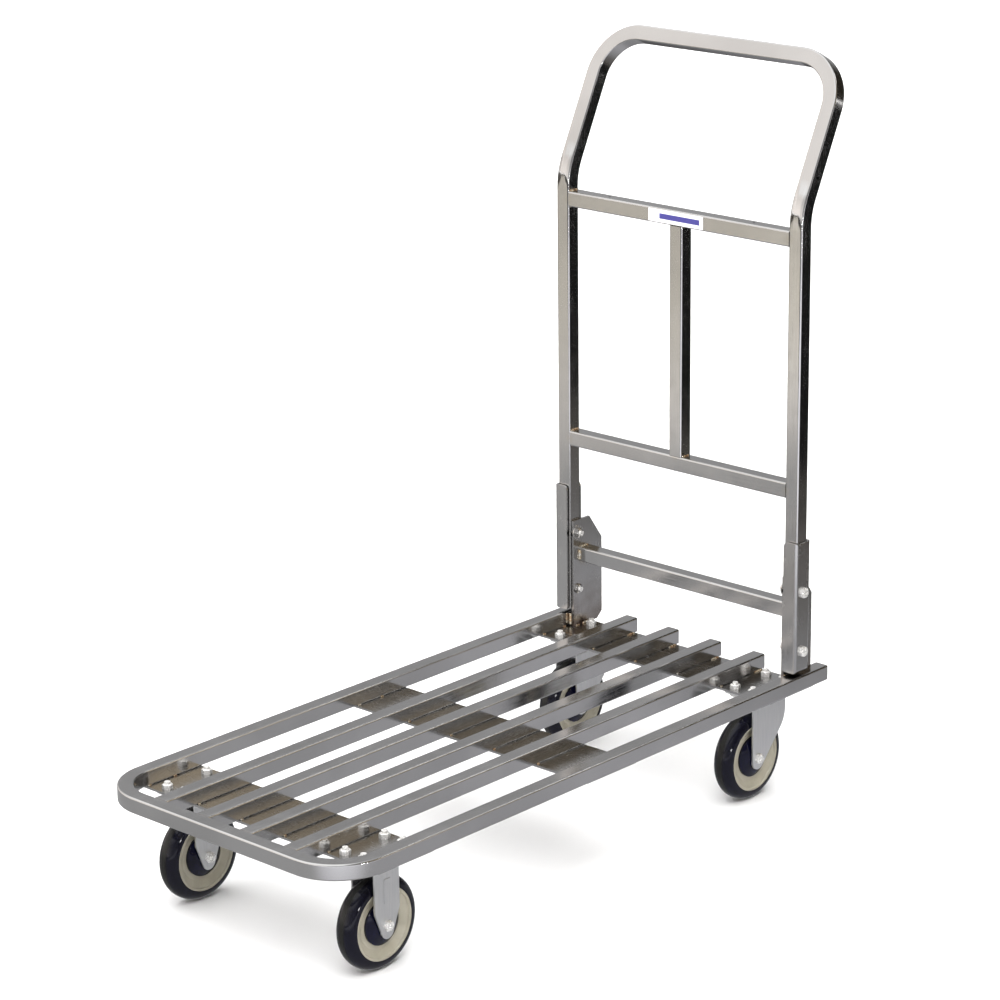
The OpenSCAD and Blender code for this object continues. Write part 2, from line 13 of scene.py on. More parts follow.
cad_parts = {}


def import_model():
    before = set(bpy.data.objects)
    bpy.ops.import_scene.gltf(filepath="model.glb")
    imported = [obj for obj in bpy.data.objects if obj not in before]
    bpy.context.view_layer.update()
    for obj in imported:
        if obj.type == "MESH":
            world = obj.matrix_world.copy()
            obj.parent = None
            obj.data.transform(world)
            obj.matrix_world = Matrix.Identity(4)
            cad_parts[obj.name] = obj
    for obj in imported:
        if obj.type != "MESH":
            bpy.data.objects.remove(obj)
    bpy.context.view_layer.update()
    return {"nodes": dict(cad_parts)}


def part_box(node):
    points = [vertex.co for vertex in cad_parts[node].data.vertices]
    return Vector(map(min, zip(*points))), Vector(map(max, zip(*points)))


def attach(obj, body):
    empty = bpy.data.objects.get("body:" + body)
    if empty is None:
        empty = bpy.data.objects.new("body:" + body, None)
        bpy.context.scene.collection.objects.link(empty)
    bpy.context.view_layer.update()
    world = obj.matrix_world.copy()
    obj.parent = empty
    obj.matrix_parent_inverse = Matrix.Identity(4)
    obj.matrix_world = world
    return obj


MM = 0.001
SIDES = ("left", "right")
PLACES = ("front_left", "front_right", "rear_left", "rear_right")
STRIPS = ("front", "middle", "rear")
SLATS = (1, 2, 3, 4)
ACROSS = (0.734, -0.679, 0)  # the level direction across the viewing angle
BEHIND = (0.45, 0.893, 0)  # the level direction that runs away past the cart's right side
INTO = (0.679, 0.734, 0)  # the level direction along the viewing angle
UP = (0, 0, 1)
BLACK, WHITE = (0, 0, 0), (1, 1, 1)
THREAD_PITCH = 1.25 * MM
BEND_FOOT, BEND_HEAD = 0.822, 0.890  # the legs' edges are drawn in between these heights
STUDIO_REACH, STUDIO_HEIGHT = 30, 40  # from the middle to each wall, and up
MIRROR_REACH, MIRROR_LIFT = 12, 1 * MM
MIX_A, MIX_B, MIX_RESULT = 6, 7, 2  # the colour sockets of a Mix node


# ---- The frame ----------------------------------------------------------------------

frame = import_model()
nodes = frame["nodes"]

rim_low, rim_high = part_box("rim_tube")
strip_boxes = [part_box(f"cross_strip_{place}") for place in STRIPS]
rung_boxes = [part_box("upper_rung"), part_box("lower_rung")]
spindle_low, spindle_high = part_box("centre_spindle")
bar_low, bar_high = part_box("plate_crossbar")
plate_low, plate_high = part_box("pivot_plate_right")
label_low, label_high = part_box("blank_label")

tube = rim_high.z - rim_low.z
rail_inner = rim_high.y - tube
leg_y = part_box("handle_loop")[1].y - tube / 2
rung_x = (rung_boxes[0][0].x + rung_boxes[0][1].x) / 2
rung_end = rung_boxes[0][1].y
heel_weld = strip_boxes[-1][1].x - 21 * MM  # where the weld at a pivot plate's heel starts


# ---- Shader helpers -----------------------------------------------------------------


class Shader:
    """A material's node tree, with short calls for the nodes used here."""

    def __init__(self, name, color, roughness, metallic=0.0):
        self.material = bpy.data.materials.new(name)
        self.material.use_nodes = True
        self.tree = self.material.node_tree
        self.surface = self.tree.nodes["Principled BSDF"]
        self.surface.inputs["Base Color"].default_value = (*color, 1.0)
        self.surface.inputs["Roughness"].default_value = roughness
        self.surface.inputs["Metallic"].default_value = metallic
        coordinates = self.node("ShaderNodeTexCoord")
        self.place = coordinates.outputs["Object"]
        self.facing = coordinates.outputs["Normal"]

    def node(self, kind, **values):
        made = self.tree.nodes.new(kind)
        for key, value in values.items():
            setattr(made, key, value)
        return made

    def link(self, source, target):
        self.tree.links.new(source, target)

    def put(self, target, value):
        """Links a socket to a node's input, or sets a plain value there."""
        if isinstance(value, bpy.types.NodeSocket):
            self.link(value, target)
        else:
            target.default_value = value

    def math(self, operation, first, second=0.0):
        made = self.node("ShaderNodeMath", operation=operation)
        self.put(made.inputs[0], first)
        self.put(made.inputs[1], second)
        return made.outputs[0]

    def noise(self, scale, stretch=(1, 1, 1), detail=2.0):
        """Noise over the part, with scale in waves per metre along each axis."""
        mapping = self.node("ShaderNodeMapping")
        mapping.inputs["Scale"].default_value = stretch
        self.link(self.place, mapping.inputs["Vector"])
        made = self.node("ShaderNodeTexNoise")
        made.inputs["Scale"].default_value = scale
        made.inputs["Detail"].default_value = detail
        self.link(mapping.outputs["Vector"], made.inputs["Vector"])
        return made.outputs["Fac"]

    def spread(self, value, low, high, start=0.0, end=1.0):
        """Maps value from low..high to start..end, smoothly and clamped."""
        made = self.node("ShaderNodeMapRange", interpolation_type="SMOOTHSTEP")
        made.inputs["From Min"].default_value = low
        made.inputs["From Max"].default_value = high
        made.inputs["To Min"].default_value = start
        made.inputs["To Max"].default_value = end
        self.put(made.inputs["Value"], value)
        return made.outputs["Result"]

    def mix(self, share, first, second):
        """Colour between first and second."""
        made = self.node("ShaderNodeMix", data_type="RGBA")
        self.put(made.inputs["Factor"], share)
        for place, value in ((MIX_A, first), (MIX_B, second)):
            plain = not isinstance(value, bpy.types.NodeSocket)
            self.put(made.inputs[place], (*value, 1.0) if plain else value)
        return made.outputs[MIX_RESULT]

    def multiply(self, first, second):
        """Colour that is first times second."""
        made = self.node("ShaderNodeMix", data_type="RGBA", blend_type="MULTIPLY")
        made.inputs["Factor"].default_value = 1.0
        self.link(first, made.inputs[MIX_A])
        self.link(second, made.inputs[MIX_B])
        return made.outputs[MIX_RESULT]

    def ramp(self, value, stops):
        """Colour along a list of (place, colour)."""
        made = self.node("ShaderNodeValToRGB")
        self.link(value, made.inputs["Fac"])
        marks = made.color_ramp.elements
        for mark, (place, color) in zip((marks[0], marks[-1]), (stops[0], stops[-1])):
            mark.position, mark.color = place, (*color, 1.0)
        for place, color in stops[1:-1]:
            marks.new(place).color = (*color, 1.0)
        return made.outputs["Color"]

    def near(self, spots, radius):
        """1 at any of the spots, falling to 0 at radius from it."""
        total = 0.0
        for spot in spots:
            away = self.node("ShaderNodeVectorMath", operation="DISTANCE")
            self.link(self.place, away.inputs[0])
            away.inputs[1].default_value = spot
            close = self.spread(away.outputs["Value"], radius, radius * 0.2)
            total = self.math("MAXIMUM", total, close)
        return total

    def bump(self, height, distance, strength=1.0, under=None):
        """Surface relief, on top of an earlier bump when under is given."""
        made = self.node("ShaderNodeBump")
        made.inputs["Distance"].default_value = distance
        made.inputs["Strength"].default_value = strength
        self.link(height, made.inputs["Height"])
        if under:
            self.link(under, made.inputs["Normal"])
        self.link(made.outputs["Normal"], self.surface.inputs["Normal"])
        return made.outputs["Normal"]

    def split(self, vector):
        """The X, Y and Z outputs of a vector."""
        made = self.node("ShaderNodeSeparateXYZ")
        self.link(vector, made.inputs[0])
        return made.outputs

    def set(self, **values):
        """Sets inputs of the surface, such as Base_Color=socket."""
        for key, value in values.items():
            self.put(self.surface.inputs[key.replace("_", " ")], value)


# ---- Materials ----------------------------------------------------------------------

GRAIN = {"x": (0.02, 1, 1), "y": (1, 0.02, 1), "z": (1, 1, 0.02)}
STEEL, STEEL_DULL = (0.62, 0.615, 0.61), (0.56, 0.555, 0.55)

# Temper colours of stainless steel, from well away from a weld to right beside it. Each
# multiplies the steel's own colour.
TEMPER = [
    (0.0, (1.0, 1.0, 1.0)),
    (0.45, (0.99, 0.95, 0.88)),
    (0.72, (0.90, 0.80, 0.66)),
    (0.88, (0.66, 0.62, 0.66)),
    (1.0, (0.48, 0.37, 0.28)),
]


def steel(name, grain, roughness=0.14, heat=(), heat_radius=0.02, shade=1.0):
    """Polished stainless steel: cloudy, finely lined along the grain, and tinted by heat."""
    s = Shader(name, STEEL, roughness, 1.0)
    cloud = s.spread(s.noise(7, detail=3), 0.35, 0.65)
    smudge = s.spread(s.noise(38, detail=4), 0.45, 0.7)
    streak = s.noise(700, GRAIN[grain], detail=3)
    base = s.mix(cloud, [v * shade for v in STEEL], [v * shade for v in STEEL_DULL])
    rough = s.spread(streak, 0.3, 0.7, roughness - 0.03, roughness + 0.04)
    rough = s.math("ADD", rough, s.math("MULTIPLY", smudge, 0.05))
    if heat:
        burnt = s.near(heat, heat_radius)
        wander = s.math("MULTIPLY", burnt, s.spread(s.noise(160, detail=2), 0.2, 0.8, 0.75, 1.1))
        base = s.multiply(base, s.ramp(wander, TEMPER))
        rough = s.math("ADD", rough, s.math("MULTIPLY", burnt, 0.1))
    s.set(Base_Color=base, Roughness=rough)
    s.relief = s.bump(streak, 0.00001, 0.06)
    return s


def pinch(s):
    """Edges of both legs that are drawn in at the bend."""
    x, y, z = s.split(s.place)
    middle, half = (BEND_FOOT + BEND_HEAD) / 2, (BEND_HEAD - BEND_FOOT) / 2
    off_leg = s.math("ABSOLUTE", s.math("SUBTRACT", s.math("ABSOLUTE", y), leg_y))
    off_bend = s.math("ABSOLUTE", s.math("SUBTRACT", z, middle))
    at_bend = s.spread(off_bend, half, half * 0.25)
    dent = s.math("MULTIPLY", at_bend, s.spread(off_leg, tube * 0.5, tube * 0.15))
    s.bump(dent, 2.5 * MM, 1.0, s.relief)


def heat_tint_and_reflection_at_foot(s, foot, head, color):
    """Darkens and browns a part towards its foot, with a ragged upper limit: partly heat tint from
    the welds there, partly a painted reflection of the brownish strip beside it.
    """
    z = s.split(s.place)["Z"]
    ragged = s.math("ADD", z, s.math("MULTIPLY", s.noise(30, detail=3), head - foot))
    share = s.spread(ragged, head + (head - foot) * 0.5, foot + (head - foot) * 0.2)
    socket = s.surface.inputs["Base Color"]
    s.link(s.multiply(socket.links[0].from_socket, s.mix(share, (1.0, 1.0, 1.0), color)), socket)


def zinc():
    """Zinc plate on pressed sheet: pale and satin, with faint drawing lines down the arms."""
    s = Shader("zinc_plate", (0.72, 0.725, 0.73), 0.36, 0.85)
    line = s.noise(420, (1, 1, 0.06), detail=3)
    cloud = s.noise(30, detail=2)
    shade = s.mix(s.spread(line, 0.3, 0.7), (0.66, 0.665, 0.67), (0.72, 0.72, 0.72))
    s.set(
        Base_Color=s.multiply(shade, s.mix(cloud, (0.94, 0.94, 0.95), (1.0, 1.0, 1.0))),
        Roughness=s.spread(line, 0.3, 0.7, 0.30, 0.38),
    )
    s.bump(line, 0.00004, 0.3)
    return s.material


def bright(name, color=(0.84, 0.83, 0.81), metallic=0.6, thread_foot=None):
    """Bright plated fasteners. Upright threads are cut above the height thread_foot."""
    s = Shader(name, color, 0.24, metallic)
    s.set(Roughness=s.spread(s.noise(400, detail=2), 0.3, 0.7, 0.16, 0.30))
    height = s.math("MULTIPLY", s.noise(500, detail=2), 0.1)
    if thread_foot is not None:
        z = s.split(s.place)["Z"]
        wave = s.math("SINE", s.math("MULTIPLY", z, 2 * math.pi / THREAD_PITCH))
        cut = s.math("GREATER_THAN", z, thread_foot)
        height = s.math("ADD", height, s.math("MULTIPLY", s.math("MULTIPLY", wave, 0.5), cut))
    s.bump(height, 0.0004, 0.8)
    return s.material


def weld_metal():
    """Weld beads: bright steel with straw, copper and brown temper colours."""
    s = Shader("weld_metal", (0.80, 0.74, 0.64), 0.2, 1.0)
    tint = s.ramp(s.noise(120, detail=2), [
        (0.3, (0.90, 0.88, 0.84)),
        (0.48, (0.86, 0.76, 0.58)),
        (0.6, (0.72, 0.50, 0.32)),
        (0.75, (0.42, 0.28, 0.20)),
    ])
    s.set(Base_Color=tint, Roughness=s.spread(s.noise(300), 0.3, 0.7, 0.14, 0.3))
    s.bump(s.noise(700, detail=2), 0.0001, 0.4)
    return s.material


def tyre_rubber():
    """Blue-black polyurethane: glossy cheeks and a duller tread, scuffed a little."""
    s = Shader("tyre_rubber", (0.005, 0.005, 0.009), 0.2)
    scuff = s.spread(s.noise(240, detail=5), 0.5, 0.8)
    tread = s.spread(s.math("ABSOLUTE", s.split(s.facing)["Y"]), 0.45, 0.1)
    cheek_shade = s.mix(scuff, (0.0035, 0.0035, 0.0085), (0.006, 0.006, 0.011))
    tread_shade = s.mix(scuff, (0.007, 0.0068, 0.006), (0.012, 0.012, 0.011))
    s.set(
        Base_Color=s.mix(tread, cheek_shade, tread_shade),
        Roughness=s.math("ADD", s.spread(tread, 0, 1, 0.06, 0.30), s.math("MULTIPLY", scuff, 0.05)),
        Specular_IOR_Level=0.32,
    )
    s.bump(s.noise(500, detail=3), 0.00002, 0.15)
    return s.material


def core_plastic():
    """Cream moulded plastic of the wheel's rim."""
    s = Shader("core_plastic", (0.40, 0.37, 0.29), 0.34)
    cloud = s.noise(60, detail=3)
    s.set(
        Base_Color=s.mix(s.spread(cloud, 0.3, 0.7), (0.335, 0.312, 0.245), (0.385, 0.358, 0.285)),
        Roughness=s.spread(s.noise(220), 0.3, 0.7, 0.28, 0.42),
    )
    s.bump(s.noise(1200, detail=2), 0.00002, 0.4)
    return s.material


def guard_plastic():
    """Deep navy gloss of the thread guards."""
    s = Shader("guard_plastic", (0.004, 0.004, 0.018), 0.08)
    shade = s.spread(s.noise(45, detail=2), 0.3, 0.7)
    s.set(
        Base_Color=s.mix(shade, (0.002, 0.002, 0.009), (0.004, 0.004, 0.016)),
        Roughness=s.spread(s.noise(120, detail=3), 0.3, 0.7, 0.05, 0.12),
        Specular_IOR_Level=0.35,
    )
    s.bump(s.noise(60, detail=1), 0.00005, 0.05)
    return s.material


def bush_plastic():
    """Pale nylon of the wheel bushes."""
    s = Shader("bush_plastic", (0.70, 0.68, 0.62), 0.5)
    s.set(Base_Color=s.mix(s.noise(200), (0.66, 0.64, 0.58), (0.74, 0.72, 0.66)))
    return s.material


def label_film():
    """White film of the blank label, with one plain blue bar a little off its middle."""
    s = Shader("label_film", (0.82, 0.82, 0.84), 0.3)
    centre, size = (label_low + label_high) / 2, label_high - label_low
    x, y, z = s.split(s.place)
    across = s.math("SUBTRACT", y, centre.y - size.y * 0.07)
    up = s.math("SUBTRACT", z, centre.z)
    half_wide, half_high, soft = size.y * 0.37, size.z * 0.23, 0.4 * MM
    bar = s.math(
        "MULTIPLY",
        s.spread(s.math("ABSOLUTE", across), half_wide, half_wide - soft),
        s.spread(s.math("ABSOLUTE", up), half_high, half_high - soft),
    )
    paper = s.mix(s.noise(150), (0.84, 0.845, 0.87), (0.88, 0.88, 0.90))
    ink = s.mix(s.noise(500), (0.035, 0.03, 0.19), (0.055, 0.05, 0.26))
    s.set(Base_Color=s.mix(bar, paper, ink), Coat_Weight=0.3, Coat_Roughness=0.12)
    s.bump(s.noise(300), 0.00003, 0.3)
    return s.material


# ---- Stage --------------------------------------------------------------------------


def plane(name, corners, material):
    """Flat four-cornered stage piece."""
    mesh = bpy.data.meshes.new(name)
    mesh.from_pydata(corners, [], [(0, 1, 2, 3)])
    piece = bpy.data.objects.new(name, mesh)
    bpy.context.scene.collection.objects.link(piece)
    mesh.materials.append(material)
    return piece


def square(reach, z):
    """Corners of a level square round the middle of the studio."""
    return [(-reach, -reach, z), (reach, -reach, z), (reach, reach, z), (-reach, reach, z)]


def glow_material(name):
    """A material that only shines, its tree and the colour input of its glow."""
    made = bpy.data.materials.new(name)
    made.use_nodes = True
    tree = made.node_tree
    tree.nodes.remove(tree.nodes["Principled BSDF"])
    glow = tree.nodes.new("ShaderNodeEmission")
    tree.links.new(glow.outputs["Emission"], tree.nodes["Material Output"].inputs["Surface"])
    return made, tree, glow.inputs["Color"]


def seen_only_by(piece, camera=False, mirrors=False):
    """Shows a stage piece to the camera alone, or to mirroring metal alone."""
    piece.visible_camera = camera
    piece.visible_glossy = mirrors
    piece.visible_diffuse = False
    piece.visible_shadow = False
    piece.visible_transmission = False


def walls():
    """White studio walls at the floor's edge, behind the cart in low views."""
    white, tree, color = glow_material("studio_wall")
    color.default_value = (1.0, 1.0, 1.0, 1.0)
    foot, head = square(STUDIO_REACH, 0), square(STUDIO_REACH, STUDIO_HEIGHT)
    for i in range(4):
        corners = [foot[i - 1], foot[i], head[i], head[i - 1]]
        seen_only_by(plane(f"studio_wall_{i}", corners, white), camera=True)


def floor():
    """Plain pale floor that glows softly far from the cart, where the lamps don't reach."""
    s = Shader("floor", (0.86, 0.86, 0.86), 0.75)
    away = s.node("ShaderNodeVectorMath", operation="LENGTH")
    s.link(s.place, away.inputs[0])
    s.set(
        Specular_IOR_Level=0.15,
        Emission_Color=(1.0, 1.0, 1.0, 1.0),
        Emission_Strength=s.spread(away.outputs["Value"], 1.6, 6.0, 0.0, 0.9),
    )
    plane("floor", square(STUDIO_REACH, 0), s.material)


def softbox(name, centre, aim, size, power, mirrored=True):
    """Area light. Metal mirrors it unless mirrored is False."""
    light = bpy.data.lights.new(name, "AREA")
    light.shape = "RECTANGLE"
    light.size, light.size_y = size
    light.energy = power
    lamp = bpy.data.objects.new(name, light)
    lamp.location = centre
    way = Vector(aim) - Vector(centre)
    lamp.rotation_euler = way.to_track_quat("-Z", "Y").to_euler()
    lamp.visible_glossy = mirrored
    bpy.context.scene.collection.objects.link(lamp)


def along(tree, source, axis, stops):
    """Colour that changes along an axis. Each stop is (distance, colour)."""
    low, high = stops[0][0], stops[-1][0]
    dot = tree.nodes.new("ShaderNodeVectorMath")
    dot.operation = "DOT_PRODUCT"
    dot.inputs[1].default_value = axis
    share = tree.nodes.new("ShaderNodeMapRange")
    share.inputs["From Min"].default_value = low
    share.inputs["From Max"].default_value = high
    ramp = tree.nodes.new("ShaderNodeValToRGB")
    tree.links.new(source, dot.inputs[0])
    tree.links.new(dot.outputs["Value"], share.inputs["Value"])
    tree.links.new(share.outputs["Result"], ramp.inputs["Fac"])
    marks = ramp.color_ramp.elements
    marks[0].color = (*stops[0][1], 1)
    marks[1].color = (*stops[-1][1], 1)
    for place, color in stops[1:-1]:
        marks.new((place - low) / (high - low)).color = (*color, 1)
    return ramp.outputs["Color"]


def blend_colors(tree, share, first, second, kind="MIX"):
    """Colour between first and second, or their product when kind is MULTIPLY."""
    mix = tree.nodes.new("ShaderNodeMix")
    mix.data_type = "RGBA"
    mix.blend_type = kind
    if isinstance(share, bpy.types.NodeSocket):
        tree.links.new(share, mix.inputs["Factor"])
    else:
        mix.inputs["Factor"].default_value = share
    tree.links.new(first, mix.inputs[MIX_A])
    tree.links.new(second, mix.inputs[MIX_B])
    return mix.outputs[MIX_RESULT]


def flat_color(tree, color):
    """One even colour."""
    made = tree.nodes.new("ShaderNodeRGB").outputs[0]
    made.default_value = (*color, 1.0)
    return made


def world():
    """Soft surround: pale on the left and overhead, grey ahead, dark brown on the right."""
    made = bpy.data.worlds.new("studio")
    made.use_nodes = True
    tree = made.node_tree
    way = tree.nodes.new("ShaderNodeTexCoord").outputs["Generated"]
    side = along(tree, way, ACROSS, [
        (-0.75, (1.28, 1.20, 1.14)),
        (-0.25, (0.60, 0.60, 0.60)),
        (0.0, (0.40, 0.40, 0.405)),
    ])
    right = along(tree, way, INTO, [
        (-0.24, (0.10, 0.085, 0.065)),
        (-0.15, (1.30, 1.10, 0.82)),
        (-0.07, (0.60, 0.50, 0.37)),
        (0.0, (0.13, 0.11, 0.085)),
        (0.06, (0.025, 0.020, 0.015)),
    ])
    low = along(tree, way, UP, [(0.15, (1.10, 1.10, 1.10)), (0.42, (0.84, 0.84, 0.84))])
    to_right = along(tree, way, ACROSS, [(0.3, BLACK), (0.65, WHITE)])
    around = blend_colors(tree, to_right, blend_colors(tree, 1.0, side, low, "MULTIPLY"), right)
    ceiling = flat_color(tree, (1.35, 1.35, 1.35))
    overhead = tree.nodes.new("ShaderNodeMath")
    overhead.operation = "MULTIPLY"
    tree.links.new(along(tree, way, UP, [(0.42, BLACK), (0.7, WHITE)]), overhead.inputs[0])
    tree.links.new(along(tree, way, ACROSS, [(0.05, WHITE), (0.3, BLACK)]), overhead.inputs[1])
    whole = blend_colors(tree, overhead.outputs[0], around, ceiling)
    tree.links.new(whole, tree.nodes["Background"].inputs["Color"])
    bpy.context.scene.world = made


def painted_floor_reflection():
    """Painted reflection of the floor: a glowing sheet that only the metal sees, with painted shade
    grey under the cart, pale to the left and dark to the right.
    """
    made, tree, glow_color = glow_material("painted_floor_reflection")
    place = tree.nodes.new("ShaderNodeTexCoord").outputs["Object"]
    shade = along(tree, place, ACROSS, [
        (-2.3, (0.73, 0.685, 0.60)),
        (-1.75, (0.79, 0.75, 0.70)),
        (-1.45, (0.70, 0.67, 0.64)),
        (-1.15, (0.33, 0.33, 0.33)),
        (-0.3, (0.33, 0.33, 0.335)),
        (0.35, (0.33, 0.33, 0.345)),
        (0.62, (0.38, 0.38, 0.40)),
        (0.95, (0.27, 0.27, 0.28)),
        (1.25, (0.135, 0.13, 0.125)),
        (1.66, (0.12, 0.11, 0.105)),
        (1.78, (0.02, 0.018, 0.016)),
        (1.83, (0.03, 0.027, 0.025)),
        (1.89, (0.13, 0.12, 0.11)),
        (1.93, (0.12, 0.11, 0.10)),
        (1.99, (0.008, 0.008, 0.008)),
    ])
    # Painted reflection: a little brighter near the cart, dark far behind it.
    depth = along(tree, place, BEHIND, [
        (0.63, (1.28, 1.28, 1.28)),
        (0.75, WHITE),
        (1.6, WHITE),
        (2.2, (0.12, 0.115, 0.11)),
    ])
    shade = blend_colors(tree, 1.0, shade, depth, "MULTIPLY")
    # Painted reflection: a white band 1 to 3 m out along -INTO, mirrored as bright highlights on
    # the rim's near-front bend.
    front = along(tree, place, INTO, [
        (-3.3, BLACK),
        (-2.8, WHITE),
        (-1.05, WHITE),
        (-0.72, BLACK),
    ])
    shade = blend_colors(tree, front, shade, flat_color(tree, (1.3, 1.3, 1.38)))
    # The far left of the front is painted dark: in reflection it draws a dark line down the upright
    # tubes' edges.
    gloom = blend_colors(
        tree, 1.0,
        along(tree, place, INTO, [(-0.75, WHITE), (-0.4, BLACK)]),
        along(tree, place, ACROSS, [(-1.3, WHITE), (-1.0, BLACK)]),
        "MULTIPLY",
    )
    shade = blend_colors(tree, gloom, shade, flat_color(tree, (0.02, 0.02, 0.02)))
    tree.links.new(shade, glow_color)
    card = plane("painted_floor_reflection", square(MIRROR_REACH, MIRROR_LIFT), made)
    seen_only_by(card, mirrors=True)


def studio():
    """Floor, walls, surround, two large lamps and two small ones that glint on the metal."""
    floor()
    walls()
    painted_floor_reflection()
    world()
    softbox("key", (-1.8, -1.6, 3.2), (0, 0, 0.3), (2.4, 2.4), 90, mirrored=False)
    softbox("top", (0.0, 0.0, 4.2), (0, 0, 0), (6.0, 6.0), 330, mirrored=False)
    softbox("spark", (-0.45, -3.1, 0.42), (-0.1, 0, 0.06), (0.30, 0.14), 8)
    softbox("edge", (1.7, -0.95, 2.12), (-0.2, -0.05, 0.18), (0.5, 0.9), 4)
    bpy.context.scene.view_settings.view_transform = "Standard"


def camera():
    """The viewing angle: bearing, height and tilt of the picture round a point beside the deck."""
    bearing, height, tilt = map(math.radians, (-47.236, 17.412, -0.703))
    aim = Vector((-0.27994, -0.28576, 0.61858))
    distance = 4.13569
    level_part = math.cos(height)
    back = Vector((
        math.sin(bearing) * level_part,
        -math.cos(bearing) * level_part,
        math.sin(height),
    ))
    level = Vector(UP).cross(back).normalized()
    up = back.cross(level)
    right = level * math.cos(tilt) + up * math.sin(tilt)
    up = up * math.cos(tilt) - level * math.sin(tilt)
    data = bpy.data.cameras.new("camera")
    data.sensor_width = 36
    data.lens = 122.69
    data.clip_end = 100
    piece = bpy.data.objects.new("camera", data)
    turn = Matrix((right, up, back)).transposed().to_4x4()
    piece.matrix_world = Matrix.Translation(aim + back * distance) @ turn
    bpy.context.scene.collection.objects.link(piece)
    bpy.context.scene.camera = piece


# ---- Weld beads ---------------------------------------------------------------------


def bead_rings(start, end, radius, pitch):
    """Centres and radii along a bead: round ends, and a ripple each pitch."""
    length = (end - start).length
    steps = max(6, round(length / pitch) * 4)
    for i in range(steps + 1):
        t = i / steps
        ripple = 0.88 + 0.12 * math.cos(2 * math.pi * t * length / pitch)
        taper = math.sqrt(max(0.0, 1 - (2 * t - 1) ** 6))
        yield start.lerp(end, t), radius * ripple * max(taper, 0.05)


def add_bead(mesh, start, end, radius, pitch=2.2 * MM, sides=12):
    """Adds one rippled bead from start to end to a bmesh."""
    start, end = Vector(start), Vector(end)
    turn = (end - start).normalized().to_track_quat("Z", "X").to_matrix()
    rings = []
    angles = [2 * math.pi * k / sides for k in range(sides)]
    spokes = [turn @ Vector((math.cos(a), math.sin(a), 0)) for a in angles]
    for centre, size in bead_rings(start, end, radius, pitch):
        rings.append([mesh.verts.new(centre + spoke * size) for spoke in spokes])
    for low, high in zip(rings, rings[1:]):
        for k in range(sides):
            mesh.faces.new((low[k], low[(k + 1) % sides], high[(k + 1) % sides], high[k]))
    mesh.faces.new(list(reversed(rings[0])))
    mesh.faces.new(rings[-1])


def beads(name, body, runs):
    """One piece of weld beads. Each run is (start, end, radius)."""
    mesh = bmesh.new()
    for start, end, radius in runs:
        add_bead(mesh, start, end, radius)
    data = bpy.data.meshes.new(name)
    mesh.to_mesh(data)
    mesh.free()
    for face in data.polygons:
        face.use_smooth = True
    data.materials.append(weld)
    piece = bpy.data.objects.new(name, data)
    bpy.context.scene.collection.objects.link(piece)
    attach(piece, body)


def around_end(low, high, y, radius):
    """Beads along the top and the underside of a tube that meets a wall at y."""
    middle, half = (low.x + high.x) / 2, (high.x - low.x) / 2 * 0.8
    for z in (low.z, high.z):
        yield (middle - half, y, z), (middle + half, y, z), radius


def handle_welds():
    """Rungs to legs, and spindle to rungs."""
    for low, high in rung_boxes:
        for y in (low.y + MM * 0.5, high.y - MM * 0.5):
            yield from around_end(low, high, y, 1.7 * MM)
    front, rear = spindle_low.x + 3 * MM, spindle_high.x - 3 * MM
    for z in (spindle_low.z + MM * 0.4, spindle_high.z - MM * 0.4):
        for y in (spindle_low.y, spindle_high.y):
            yield (front, y, z), (rear, y, z), 1.3 * MM


def bracket_welds():
    """Crossbar to pivot plates, and pivot plates to rails and to the rear strip."""
    outer = plate_high.y
    bar_foot, bar_head = bar_low.z + 2.5 * MM, bar_high.z - 3.5 * MM
    for sign in (-1, 1):
        inner = sign * plate_low.y
        end = sign * (plate_low.y - 0.6 * MM)
        for x in (bar_low.x + 0.6 * MM, bar_high.x - 0.6 * MM):
            yield (x, end, bar_foot), (x, end, bar_head), 3.0 * MM
        yield from around_end(bar_low, bar_high, end, 1.5 * MM)

        gap, width = sign * (outer + rail_inner) / 2, rail_inner - outer
        front = plate_low.x + 1.2 * MM
        foot, head = plate_low.z + 1.5 * MM, rim_high.z - 2 * MM
        yield (front, gap, foot), (front, gap, head), width * 0.55

        foot = plate_low.z + 0.8 * MM
        yield (heel_weld, inner, foot), (heel_weld + 13 * MM, inner, foot), 2.4 * MM
        toe, foot = plate_low.x + 4 * MM, plate_low.z + 0.5 * MM
        yield (toe, inner, foot), (toe + 8 * MM, inner, foot), 1.6 * MM


def deck_welds():
    """Slats to the front rail, and slats and rails to the three strips."""
    foot = strip_boxes[0][1].z + 0.6 * MM
    for number in SLATS:
        low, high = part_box(f"deck_slat_{number}")
        front = low.x + 0.3 * MM
        rear = min(strip_boxes[-1][1].x, high.x) - 2 * MM
        for side in (low.y - 0.2 * MM, high.y + 0.2 * MM):
            yield (front, side, low.z + 2 * MM), (front, side, high.z - 3 * MM), 1.1 * MM
            yield (rear - 17 * MM, side, foot), (rear, side, foot), 1.5 * MM
            for strip_low, strip_high in strip_boxes:
                start = strip_low.x + 1.5 * MM
                yield (start, side, foot), (start + 5 * MM, side, foot), 1.4 * MM
    rail = rail_inner - 0.3 * MM
    for strip_low, strip_high in strip_boxes:
        for y in (-rail, rail):
            for x in (strip_low.x + 4 * MM, (strip_low.x + strip_high.x) / 2):
                yield (x - 3 * MM, y, foot), (x + 3 * MM, y, foot), 1.5 * MM


# ---- Dressing the frame's nodes -----------------------------------------------------


def wear(names, material):
    """Gives CAD nodes a material."""
    for name in names:
        data = nodes[name].data
        data.materials.clear()
        data.materials.append(material)


def round_edges(names, width, segments=2):
    """Rounds the sharp edges of flat CAD plates with a modifier."""
    for name in names:
        bevel = nodes[name].modifiers.new("round_edges", "BEVEL")
        bevel.width = width
        bevel.segments = segments
        bevel.limit_method = "ANGLE"
        bevel.angle_limit = math.radians(40)


def of_sides(*kinds):
    """Node names of kinds that come in left and right."""
    return [f"{kind}_{side}" for kind in kinds for side in SIDES]


